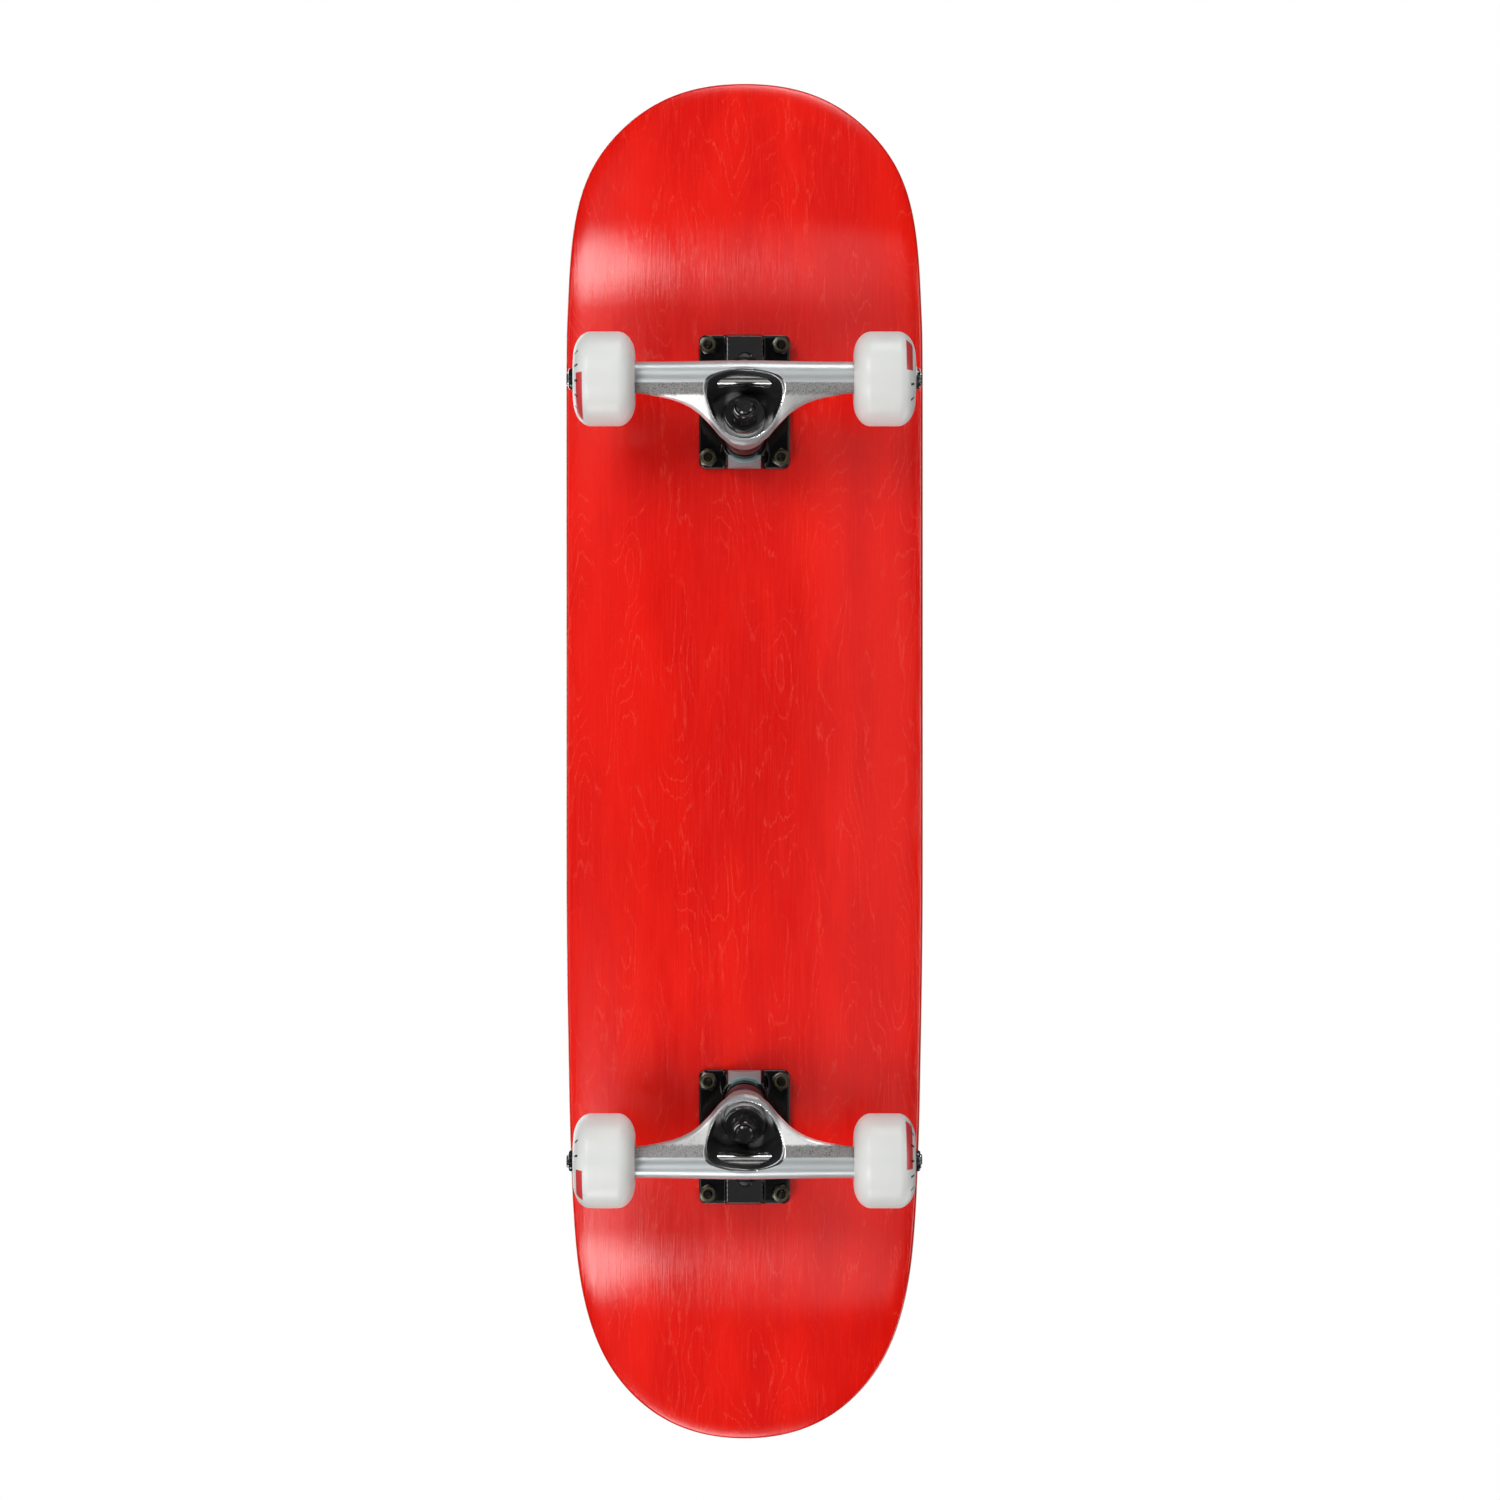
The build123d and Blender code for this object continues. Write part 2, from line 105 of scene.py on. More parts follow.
# Wheel, millimetres
WHEEL_RADIUS = 26.0
WHEEL_HALF = 17.0
TREAD_HALF = 7.4
LIP_RADIUS = 12.6
BEARING_SEAT = 12.0
BEARING_BORE = 11.02
CORE_STOP = 5.0
CORE_BORE = 9.0

# Nuts, millimetres
KINGPIN_NUT_FLATS = 14.2
LOCK_NUT_FLATS = 9.5
AXLE_NUT_FLATS = 12.7
AXLE_NUT_HEIGHT = 6.8

# View and studio, metres
EYE = (0.0061, 0.0031, -1.921)
LENS = 84.7
FLOOR_HALF = 14.0
FLOOR_LINES = 15
FILL = 0.04

ENDS = {"front": 1.0, "rear": -1.0}
HANDS = {"left": 1.0, "right": -1.0}


def middle(node):
    """Centre of a CAD node's box, millimetres."""
    low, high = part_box(node)
    return (low + high) / 2 / MM


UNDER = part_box("front_baseplate")[1].z / MM
DECK_TOP = UNDER + DECK_THICKNESS
PLATE_X = {end: middle(f"{end}_baseplate").x for end in ENDS}
AXLE = {end: middle(f"{end}_axle") for end in ENDS}


# ---------------------------------------------------------------- finishes

class Wire:
    """A node's output that takes part in sums like a number."""

    def __init__(self, finish, socket):
        self.finish = finish
        self.socket = socket

    def sum_of(self, operation, *terms):
        return self.finish.node("ShaderNodeMath", {"operation": operation}, dict(enumerate(terms)))

    def __add__(self, other):
        return self.sum_of("ADD", self, other)

    def __radd__(self, other):
        return self.sum_of("ADD", other, self)

    def __sub__(self, other):
        return self.sum_of("SUBTRACT", self, other)

    def __rsub__(self, other):
        return self.sum_of("SUBTRACT", other, self)

    def __mul__(self, other):
        return self.sum_of("MULTIPLY", self, other)

    def __rmul__(self, other):
        return self.sum_of("MULTIPLY", other, self)

    def __truediv__(self, other):
        return self.sum_of("DIVIDE", self, other)

    def __rtruediv__(self, other):
        return self.sum_of("DIVIDE", other, self)

    def __pow__(self, other):
        return self.sum_of("POWER", self, other)

    def __abs__(self):
        return self.sum_of("ABSOLUTE", self)

    def most(self, other):
        return self.sum_of("MAXIMUM", self, other)

    def least(self, other):
        return self.sum_of("MINIMUM", self, other)

    def rise(self, low, high):
        """0 below low, 1 above high and smooth between them; falls if low is above high."""
        if low > high:
            return 1 - self.rise(high, low)
        limits = {"Value": self, "From Min": low, "From Max": high}
        return self.finish.node("ShaderNodeMapRange", {"interpolation_type": "SMOOTHSTEP"}, limits)


class Finish:
    """A material with one surface shader, built from procedural nodes."""

    def __init__(self, name, **constants):
        self.material = bpy.data.materials.new(name)
        self.material.use_nodes = True
        self.tree = self.material.node_tree
        self.tree.nodes.clear()
        self.skin = self.tree.nodes.new("ShaderNodeBsdfPrincipled")
        self.end = self.tree.nodes.new("ShaderNodeOutputMaterial")
        self.tree.links.new(self.skin.outputs[0], self.end.inputs[0])
        for socket, value in constants.items():
            self.skin.inputs[socket.replace("_", " ").title().replace("Ior", "IOR")].default_value = value

    def node(self, kind, settings=None, sockets=None, out=0):
        made = self.tree.nodes.new(kind)
        for key, value in (settings or {}).items():
            setattr(made, key, value)
        for key, value in (sockets or {}).items():
            self.feed(made.inputs[key], value)
        return Wire(self, made.outputs[out])

    def feed(self, socket, value):
        if isinstance(value, Wire):
            self.tree.links.new(value.socket, socket)
        else:
            socket.default_value = value

    def place(self):
        """Where a point is on the piece, millimetres."""
        at = self.node("ShaderNodeTexCoord", out="Object")
        return self.stretch(at, (1 / MM, 1 / MM, 1 / MM))

    def stretch(self, at, scales):
        return self.node("ShaderNodeVectorMath", {"operation": "MULTIPLY"}, {0: at, 1: scales})

    def shift(self, at, offset):
        return self.node("ShaderNodeVectorMath", {"operation": "ADD"}, {0: at, 1: offset})

    def parts(self, at):
        split = self.tree.nodes.new("ShaderNodeSeparateXYZ")
        self.feed(split.inputs[0], at)
        return [Wire(self, socket) for socket in split.outputs]

    def noise(self, at, scales=(1, 1, 1), detail=3.0, rough=0.5):
        sockets = {"Vector": self.stretch(at, scales), "Scale": 1.0, "Detail": detail, "Roughness": rough}
        return self.node("ShaderNodeTexNoise", None, sockets)

    def cells(self, at, size):
        sockets = {"Vector": at, "Scale": 1 / size}
        return self.node("ShaderNodeTexVoronoi", {"feature": "F1"}, sockets)

    def blend(self, mask, first, second):
        """first where mask is 0, second where it is 1."""
        return self.node("ShaderNodeMix", {"data_type": "RGBA"}, {0: mask, 6: first, 7: second}, out=2)

    def relief(self, height, depth, strength):
        """Bump from a 0 to 1 height, depth in millimetres."""
        sockets = {"Height": height, "Distance": depth * MM, "Strength": strength}
        return self.node("ShaderNodeBump", None, sockets)

    def wear(self, **sockets):
        """Feeds the surface shader and gives the material."""
        for name, value in sockets.items():
            self.feed(self.skin.inputs[name.replace("_", " ").title()], value)
        return self.material


def shade(red, green, blue):
    return (red, green, blue, 1.0)


def stained_maple():
    """Red dye over maple veneer under clear lacquer: blotches, long grain, cathedral loops."""
    f = Finish("stained_maple", ior=1.58)
    at = f.place()
    jitter = f.noise(at, (0.10, 0.50, 0.1), 4.0, 0.65) - 0.5
    figure = f.noise(at, (0.0075, 0.030, 0.01), 2.0, 0.4) + jitter * 0.045
    ridge = f.node("ShaderNodeMath", {"operation": "PINGPONG"}, {0: figure * 21.0, 1: 0.5})
    patchy = f.noise(at, (0.016, 0.07, 0.05), 3.0).rise(0.42, 0.58)
    crumbly = f.noise(at, (0.16, 1.1, 0.2), 3.0, 0.65).rise(0.34, 0.56)
    loops = ridge.rise(0.10, 0.0) * patchy * crumbly
    blotch = f.noise(at, (0.006, 0.028, 0.02), 4.0, 0.55).rise(0.36, 0.66)
    streak = f.noise(at, (0.028, 1.5, 0.1), 4.0, 0.6).rise(0.42, 0.74)
    fleck = f.noise(at, (0.30, 2.3, 0.2), 2.0, 0.5).rise(0.65, 0.77)
    mottle = f.noise(at, (0.5, 0.9, 0.5), 3.0, 0.6)
    tone = f.blend(blotch, shade(0.78, 0.0030, 0.0006), shade(0.92, 0.0075, 0.0015))
    tone = f.blend(streak * 0.36, tone, shade(1.0, 0.026, 0.012))
    tone = f.blend(loops * 0.42, tone, shade(1.0, 0.085, 0.055))
    tone = f.blend(fleck * 0.30, tone, shade(1.0, 0.085, 0.06))
    tone = f.blend(mottle.rise(0.56, 0.72) * 0.25, tone, shade(0.66, 0.003, 0.001))
    grain = streak * 0.5 + fleck * 0.3 + mottle * 0.5
    return f.wear(
        base_color=tone,
        roughness=0.16 + mottle * 0.10,
        normal=f.relief(grain, 0.075, 0.8),
    )


def bare_maple(name, light):
    """Edge and hidden faces of a ply: pale maple, darker where the end grain shows."""
    f = Finish(name, ior=1.45)
    at = f.place()
    streak = f.noise(at, (0.06, 0.06, 9.0), 4.0, 0.6)
    pore = f.noise(at, (1.8, 1.8, 3.2), 3.0, 0.6).rise(0.52, 0.72)
    dark = shade(0.30 * light, 0.17 * light, 0.075 * light)
    wood = shade(0.60 * light, 0.40 * light, 0.21 * light)
    bright = shade(0.72 * light, 0.52 * light, 0.31 * light)
    tone = f.blend(streak, wood, bright)
    tone = f.blend(pore * 0.5, tone, dark)
    return f.wear(base_color=tone, roughness=0.52 + pore * 0.2, normal=f.relief(pore, 0.05, 0.5))


def grip_paper():
    """Black silicon-carbide grit, with fine painted glints and a little dust."""
    f = Finish("grip_paper", ior=1.6)
    at = f.place()
    grit = f.cells(at, 0.55)
    fine = f.noise(at, (2.6, 2.6, 2.6), 3.0, 0.7)
    dust = f.noise(at, (0.02, 0.035, 0.02), 4.0, 0.6).rise(0.48, 0.7)
    # Painted glints: small pale grey specks on the grit, where the roughness also drops.
    painted_glint = f.cells(f.shift(at, (13.0, 7.0, 3.0)), 1.1).rise(0.16, 0.05)
    tone = f.blend(fine, shade(0.008, 0.008, 0.009), shade(0.030, 0.030, 0.032))
    tone = f.blend(dust * 0.35, tone, shade(0.060, 0.058, 0.055))
    tone = f.blend(painted_glint * 0.6, tone, shade(0.32, 0.32, 0.34))
    height = (1 - grit) * 0.7 + fine * 0.5
    return f.wear(base_color=tone, roughness=0.82 - painted_glint * 0.45, normal=f.relief(height, 0.30, 0.9))


def cast_aluminium(end):
    """Hanger: smooth bar, grainy as-cast band, polish on the flanks under a painted highlight that is dimmer
    on one arm, painted shade in the dished pocket and round the ring, a painted highlight on the pocket's
    rim and a painted light crescent inside it.
    """
    f = Finish(f"{end}_cast_aluminium", ior=1.6)
    at = f.place()
    x, y, z = f.parts(at)
    outward = ENDS[end]
    ahead = (x - AXLE[end].x) * outward
    reach = abs(y)
    grain = f.noise(at, (1.5, 1.5, 1.5), 4.0, 0.7)
    coarse = f.noise(at, (0.42, 0.42, 0.42), 3.0, 0.6)
    brushed = f.noise(at, (0.35, 0.06, 1.4), 3.0, 0.6)
    edge_wander = (coarse - 0.5) * 0.8
    bar = (ahead + edge_wander).rise(-3.0, -2.3)
    # Painted light: the flank highlight is painted dimmer on one arm and the grainy band a little darker on
    # the other, as the side lights fall.
    painted_dim_side = (y * outward).rise(10.0, 30.0)
    # Flanks with a real polish, also painted near-white as a highlight.
    polish_and_highlight = (0 - ahead + (coarse - 0.5) * 2.5).rise(8.2, 10.0) * (1 - painted_dim_side * 0.6)
    sandy = (1 - bar) * (1 - polish_and_highlight) * (1 + (1 - painted_dim_side) * 0.15)
    above = (z - AXLE[end].z).rise(2.0, 8.0)
    sandy = sandy.most(above * 0.8)
    lean_x, lean_z = outward * math.sin(KINGPIN_LEAN), -math.cos(KINGPIN_LEAN)
    ring_x, ring_z = PLATE_X[end] + outward * RING_X, UNDER + RING_Z
    along = (x - ring_x) * lean_x + (z - ring_z) * lean_z
    across = (x - ring_x) * (-lean_z * outward) + (z - ring_z) * (lean_x * outward)
    depth = ((along - POCKET_START) / POCKET_DEPTH).most(0.0).least(1.0)
    offset = across - (depth * POCKET_SHIFT[1] + POCKET_SHIFT[0])
    ahead_part = offset.most(0.0) / (depth * POCKET_AHEAD[1] + POCKET_AHEAD[0])
    behind_part = (0 - offset).most(0.0) / (depth * POCKET_BEHIND[1] + POCKET_BEHIND[0])
    side_part = reach / (depth * POCKET_SIDE[1] + POCKET_SIDE[0])
    spread = ahead_part * ahead_part + behind_part * behind_part + side_part * side_part
    # Painted shade: the inside of the dished pocket is painted near-black.
    painted_pocket_shade = spread.rise(1.14, 1.05) * along.rise(4.0, 5.0)
    # Painted highlight: a near-white line along the pocket's rim.
    rim = spread.rise(1.05, 1.09) * spread.rise(1.18, 1.12) * along.rise(9.0, 11.0)
    pin = (across * across + y * y) ** 0.5
    # Painted light: a near-white crescent on the pocket's inboard wall round the kingpin, with less metallic
    # so diffuse light shows it.
    painted_lit_crescent = pin.rise(16.2, 15.2) * across.rise(4.0, -1.0) * along.rise(4.0, 5.0)
    shaded = pin.rise(21.0, 18.0) * (1 - rim) * (1 - painted_pocket_shade)
    collar = reach.rise(HANGER_HALF - 3.4, HANGER_HALF - 2.6)
    plain = (1 - collar) * (1 - painted_pocket_shade) * (1 - rim)
    sandy = sandy * plain
    polish_and_highlight = polish_and_highlight * plain
    tone = f.blend(bar.most(collar), shade(0.50, 0.51, 0.51), shade(0.57, 0.60, 0.61))
    # Painted highlight on the flanks, painted shade round the ring, painted highlight on the rim, painted
    # shade in the pocket and a painted light crescent in it.
    tone = f.blend(polish_and_highlight, tone, shade(0.95, 0.95, 0.95))
    tone = f.blend(shaded * 0.85, tone, shade(0.22, 0.22, 0.23))
    tone = f.blend(rim, tone, shade(0.95, 0.95, 0.95))
    tone = f.blend(painted_pocket_shade * 0.95, tone, shade(0.12, 0.12, 0.125))
    tone = f.blend(painted_lit_crescent * painted_pocket_shade * 0.95, tone, shade(0.97, 0.97, 0.97))
    speck = grain.rise(0.46, 0.60)
    tone = f.blend(sandy * speck * 0.85, tone, shade(0.05, 0.047, 0.043))
    tone = f.blend(sandy * (1 - speck) * 0.7, tone, shade(0.26, 0.255, 0.245))
    tone = f.blend(polish_and_highlight * coarse.rise(0.56, 0.70) * 0.35, tone, shade(0.45, 0.45, 0.46))
    roughness = 0.32 + sandy * 0.22 - polish_and_highlight * 0.04 + brushed * 0.10 - rim * 0.22 - painted_pocket_shade * 0.14
    height = grain * sandy * 0.9 + coarse * polish_and_highlight * 0.35 + brushed * 0.12 * (1 - rim)
    return f.wear(
        base_color=tone,
        metallic=0.92 - sandy * 0.35 - polish_and_highlight * 0.42 - bar * 0.35 * plain - painted_lit_crescent * painted_pocket_shade * 0.5,
        roughness=roughness,
        normal=f.relief(height, 0.22, 0.75),
    )


def metal(name, tone, worn, roughness, grain=1.0, depth=0.04, wear_share=0.3, metallic=1.0, coat=0.0):
    """Turned or plated steel: fine tooling marks, slight stains, brighter rubbed spots."""
    f = Finish(name, coat_weight=coat, coat_roughness=0.08)
    at = f.place()
    tooling = f.noise(at, (0.9 * grain, 0.9 * grain, 5.5 * grain), 3.0, 0.6)
    stain = f.noise(at, (0.28 * grain, 0.28 * grain, 0.28 * grain), 4.0, 0.6)
    rubbed = stain.rise(0.52, 0.66) * wear_share
    colour = f.blend(rubbed, tone, worn)
    colour = f.blend(tooling * 0.25, colour, shade(*(part * 0.55 for part in tone[:3])))
    return f.wear(
        base_color=colour,
        metallic=metallic,
        roughness=roughness + (stain - 0.5) * 0.16 + rubbed * 0.1,
        normal=f.relief(tooling, depth, 0.5),
    )


def plastic(name, tone, roughness, bump=0.03, patch=0.15):
    """Moulded plastic or urethane: faint clouds, matt skin, fine pits."""
    f = Finish(name, ior=1.5)
    at = f.place()
    cloud = f.noise(at, (0.09, 0.09, 0.09), 3.0, 0.6)
    pits = f.noise(at, (1.6, 1.6, 1.6), 3.0, 0.6)
    darker = shade(*(part * (1 - patch) for part in tone[:3]))
    colour = f.blend(cloud, tone, darker)
    colour = f.blend(pits.rise(0.60, 0.75) * 0.3, colour, darker)
    return f.wear(
        base_color=colour,
        roughness=roughness + (cloud - 0.5) * 0.14,
        normal=f.relief(pits, bump, 0.5),
    )


def black_enamel(name, end):
    """Gloss black paint over a casting: orange peel, dust, scuffs and a painted grey reflection on the
    inboard facet.
    """
    f = Finish(name, ior=1.42, coat_weight=0.12, coat_roughness=0.08)
    at = f.place()
    peel = f.noise(at, (0.55, 0.55, 0.55), 3.0, 0.5)
    dust = f.noise(at, (0.12, 0.12, 0.12), 4.0, 0.65).rise(0.5, 0.72)
    scuff = f.noise(at, (0.5, 2.4, 1.1), 3.0, 0.6).rise(0.63, 0.74)
    tone = f.blend(dust * 0.5, shade(0.003, 0.003, 0.0033), shade(0.009, 0.009, 0.010))
    tone = f.blend(scuff * 0.30, tone, shade(0.035, 0.035, 0.038))
    roughness = 0.12 + dust * 0.10 + scuff * 0.14
    x, y, z = f.parts(at)
    inboard = (x - PLATE_X[end]) * ENDS[end]
    # Painted reflection: the inboard facet at the rib end is painted light blue-grey, and made rougher.
    facet = inboard.rise(-31.2, -32.0) * (z - UNDER).rise(-4.9, -5.6) * abs(y).rise(9.3, 9.0)
    tone = f.blend(facet, tone, shade(0.20, 0.29, 0.30))
    roughness = roughness + facet * 0.2
    return f.wear(base_color=tone, roughness=roughness, normal=f.relief(peel, 0.05, 0.45))


def wheel_urethane(name, print_turn):
    """Milky white urethane with a printed red band and black ticks on the outer lip."""
    f = Finish(name, ior=1.48, coat_weight=0.15, coat_roughness=0.3)
    at = f.place()
    x, y, z = f.parts(at)
    radius = (x * x + y * y) ** 0.5
    bearing = f.node("ShaderNodeMath", {"operation": "ARCTAN2"}, {0: y, 1: x})
    turn = f.node(
        "ShaderNodeMath",
        {"operation": "WRAP"},
        {0: bearing - math.radians(print_turn), 1: math.pi, 2: -math.pi},
    )
    cloud = f.noise(at, (0.05, 0.05, 0.09), 3.0, 0.5)
    turned = f.node("ShaderNodeCombineXYZ", None, {0: radius, 1: z, 2: 0.0})
    lathe = f.noise(turned, (1.4, 2.2, 1.0), 3.0, 0.6)
    pits = f.noise(at, (1.3, 1.3, 1.3), 3.0, 0.6)
    tone = f.blend(cloud, shade(0.82, 0.825, 0.80), shade(0.74, 0.755, 0.73))
    tone = f.blend(pits.rise(0.62, 0.78) * 0.25, tone, shade(0.64, 0.65, 0.62))
    tone = f.blend(lathe.rise(0.55, 0.75) * 0.12, tone, shade(0.68, 0.69, 0.67))
    outer = z.rise(9.4, 9.8)
    ragged = (pits - 0.5) * 0.25
    band = (radius + ragged).rise(20.9, 21.2) * (radius + ragged).rise(25.0, 24.7)
    sweep = turn.rise(-0.30, -0.26) * turn.rise(1.02, 0.98)
    second = turn.rise(2.30, 2.34)
    red = band * outer * sweep.most(second)
    tick_wave = f.node("ShaderNodeMath", {"operation": "PINGPONG"}, {0: turn + 4.0, 1: 0.20})
    ticks = tick_wave.rise(0.035, 0.022)
    tick_ring = (radius + ragged).rise(19.2, 19.4) * (radius + ragged).rise(22.6, 22.4)
    first_ticks = turn.rise(-1.2, -1.1) * turn.rise(2.0, 1.9)
    last_ticks = turn.rise(-2.05, -2.15) * turn.rise(-2.90, -2.85)
    ticked = first_ticks.most(last_ticks)
    black = ticks * tick_ring * outer * ticked
    tone = f.blend(red * 0.95, tone, shade(0.62, 0.012, 0.016))
    tone = f.blend(black, tone, shade(0.012, 0.012, 0.012))
    return f.wear(
        base_color=tone,
        roughness=0.40 + (cloud - 0.5) * 0.10 - red * 0.1,
        normal=f.relief(lathe * 0.6 + pits * 0.4, 0.03, 0.4),
    )


def lock_ring():
    """Nylon ring in a lock nut: olive-amber, waxy."""
    return plastic("lock_nut_nylon", shade(0.125, 0.118, 0.045), 0.34, 0.02, 0.35)


# ---------------------------------------------------------------- mesh making

def mesh_of(name, points, faces, finishes, marks=None, crease=38.0):
    """A mesh object from points in millimetres, with doubled points merged."""
    mesh = bpy.data.meshes.new(name)
    mesh.from_pydata([tuple(float(c) * MM for c in point) for point in points], [], faces)
    for finish in finishes:
        mesh.materials.append(finish)
    if marks is not None:
        mesh.polygons.foreach_set("material_index", marks)
    work = bmesh.new()
    work.from_mesh(mesh)
    bmesh.ops.remove_doubles(work, verts=work.verts, dist=1e-6)
    bmesh.ops.recalc_face_normals(work, faces=work.faces)
    work.to_mesh(mesh)
    work.free()
    made = bpy.data.objects.new(name, mesh)
    bpy.context.scene.collection.objects.link(made)
    smooth(made, crease)
    return made


def smooth(piece, crease):
    piece.data.polygons.foreach_set("use_smooth", [True] * len(piece.data.polygons))
    piece.data.set_sharp_from_angle(angle=math.radians(crease))


def settled(piece):
    """Applies the piece's modifiers."""
    graph = bpy.context.evaluated_depsgraph_get()
    graph.update()
    mesh = bpy.data.meshes.new_from_object(piece.evaluated_get(graph))
    piece.modifiers.clear()
    piece.data = mesh
    return piece


def rings_to_faces(ring_count, steps, closed_rings=True, closed_steps=True, start=0):
    """Quads between rings of points, ring by ring."""
    faces = []
    for ring in range(ring_count if closed_rings else ring_count - 1):
        above = (ring + 1) % ring_count
        for step in range(steps if closed_steps else steps - 1):
            after = (step + 1) % steps
            faces.append((
                start + ring * steps + step,
                start + ring * steps + after,
                start + above * steps + after,
                start + above * steps + step,
            ))
    return faces


def spun(outline, steps=96):
    """Points and quads of a closed (radius, height) outline turned about Z."""
    points = []
    for radius, height in outline:
        for step in range(steps):
            turn = 2 * math.pi * step / steps
            points.append((radius * math.cos(turn), radius * math.sin(turn), height))
    return points, rings_to_faces(len(outline), steps)


def eased(outline, radius, count=4):
    """The closed outline with its corners rounded."""
    soft = []
    for index, corner in enumerate(outline):
        here = np.array(corner, float)
        legs = []
        for neighbour in (outline[index - 1], outline[(index + 1) % len(outline)]):
            leg = np.array(neighbour, float) - here
            length = float(np.hypot(*leg))
            legs.append(leg / length * min(radius, length * 0.45))
        for k in range(count + 1):
            t = k / count
            point = here + legs[0] * (1 - t) ** 2 + legs[1] * t ** 2
            soft.append((float(point[0]), float(point[1])))
    return soft


def hex_radius(flats, turn):
    """Distance from the axis to a hexagon's side in a direction."""
    sixth = math.pi / 3
    return flats / 2 / math.cos((turn % sixth) - sixth / 2)


def hex_nut(flats, height, bore, chamfer_start, collar):
    """A chamfered hexagon with a collar, from its seat at height 0; collar is (radius, height) pairs."""
    steps = 96
    rings = []
    slope = math.tan(math.radians(30))
    for kind in ("bore", "foot", "side", "shoulder"):
        ring = []
        for step in range(steps):
            turn = 2 * math.pi * step / steps
            edge = hex_radius(flats, turn)
            drop = max(0.0, edge - chamfer_start) * slope
            radius, level = {
                "bore": (bore, 0.0),
                "foot": (min(edge, chamfer_start + 0.25), 0.0),
                "side": (edge, height - drop),
                "shoulder": (min(edge, chamfer_start), height),
            }[kind]
            ring.append((radius * math.cos(turn), radius * math.sin(turn), level))
        rings.append(ring)
        if kind == "foot":
            low = [(hex_radius(flats, 2 * math.pi * s / steps)) for s in range(steps)]
            rings.append([
                (r * math.cos(2 * math.pi * s / steps), r * math.sin(2 * math.pi * s / steps), 0.25)
                for s, r in enumerate(low)
            ])
    for radius, level in collar:
        rings.append([
            (radius * math.cos(2 * math.pi * s / steps), radius * math.sin(2 * math.pi * s / steps), level)
            for s in range(steps)
        ])
    points = [point for ring in rings for point in ring]
    return points, rings_to_faces(len(rings), steps)


def placed(points, matrix):
    return [tuple(matrix @ Vector(point)) for point in points]


def joined(shells):
    """One list of points, faces and marks from (points, faces, mark) shells."""
    points, faces, marks = [], [], []
    for shell_points, shell_faces, mark in shells:
        start = len(points)
        points += list(shell_points)
        faces += [tuple(corner + start for corner in face) for face in shell_faces]
        marks += [mark] * len(shell_faces)
    return points, faces, marks


def fit(piece, body, slot, *nodes):
    """Puts a finished piece on its body, in place of the nodes that it stands for."""
    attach(piece, body)
    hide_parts(*nodes)
    return piece


# ---------------------------------------------------------------- deck

def half_outline(count):
    """Right half of the deck's plan from nose to tail, evenly spaced, millimetres."""
    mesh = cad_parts["deck_core_plies"].data
    flat = np.zeros(len(mesh.vertices) * 3)
    mesh.vertices.foreach_get("co", flat)
    flat = flat.reshape(-1, 3)[:, :2] / MM
    hull = []
    for point in sorted(set(map(tuple, np.round(flat[flat[:, 1] > -0.001], 4)))):
        while len(hull) >= 2:
            one = np.subtract(hull[-1], hull[-2])
            two = np.subtract(point, hull[-2])
            if one[0] * two[1] - one[1] * two[0] < 0:
                break
            hull.pop()
        hull.append(point)
    hull = np.array(hull[::-1])
    hull[:, 1] = np.maximum(hull[:, 1], 0)
    hull = np.vstack([hull[1] * (1, -1), hull, hull[-2] * (1, -1)])
    gaps = np.hypot(*np.diff(hull, axis=0).T)
    along = np.concatenate([[0], np.cumsum(gaps)])
    slopes = np.gradient(hull, along, axis=0)
    targets = np.linspace(along[1], along[-2], count)
    index = np.clip(np.searchsorted(along, targets, side="right") - 1, 1, len(along) - 3)
    step = gaps[index][:, None]
    t = ((targets - along[index]) / gaps[index])[:, None]
    curve = (
        hull[index] * (1 + 2 * t) * (1 - t) ** 2
        + slopes[index] * step * t * (1 - t) ** 2
        + hull[index + 1] * t * t * (3 - 2 * t)
        - slopes[index + 1] * step * t * t * (1 - t)
    )
    curve[:, 1] = np.minimum(curve[:, 1], hull[:, 1].max())
    curve[0, 1] = curve[-1, 1] = 0
    return curve


def mould_height(x, y, level):
    """Height of the pressed surface that lies level above the flat underside."""
    centre = DECK_TOP + RAIL_RADIUS
    radius = centre - (UNDER + level)
    side = np.maximum(np.abs(y) - FLAT_HALF_WIDTH, 0)
    section = centre - np.sqrt(radius ** 2 - side ** 2)
    hinge = DECK_TOP + KICK_RADIUS
    bend = hinge - section
    past = np.where(x > 0, x - NOSE_KICK_START, -x - TAIL_KICK_START)
    inside = np.clip(past, 0, bend * math.sin(KICK_ANGLE))
    beyond = np.maximum(past - bend * math.sin(KICK_ANGLE), 0)
    return hinge - np.sqrt(bend ** 2 - inside ** 2) + beyond * math.tan(KICK_ANGLE)


def edge_inset(level):
    """How far the rounded edge draws in at a level."""
    near = min(level, DECK_THICKNESS - level)
    if near >= EDGE_ROUND:
        return 0.02
    return 0.02 + EDGE_DEPTH * (1 - math.sqrt(1 - ((EDGE_ROUND - max(near, 0.0)) / EDGE_ROUND) ** 2))


OUTLINE = half_outline(300)
LOOP = np.vstack([OUTLINE, OUTLINE[-2:0:-1] * (1, -1)])
OUTWARD = np.roll(LOOP, -1, axis=0) - np.roll(LOOP, 1, axis=0)
OUTWARD = np.column_stack([-OUTWARD[:, 1], OUTWARD[:, 0]]) / np.hypot(*OUTWARD.T)[:, None]
OUTWARD *= np.sign(np.sum(OUTWARD * LOOP, axis=1))[:, None]
SPINE = np.column_stack([np.clip(LOOP[:, 0], -SPINE_END, SPINE_END), np.zeros(len(LOOP))])


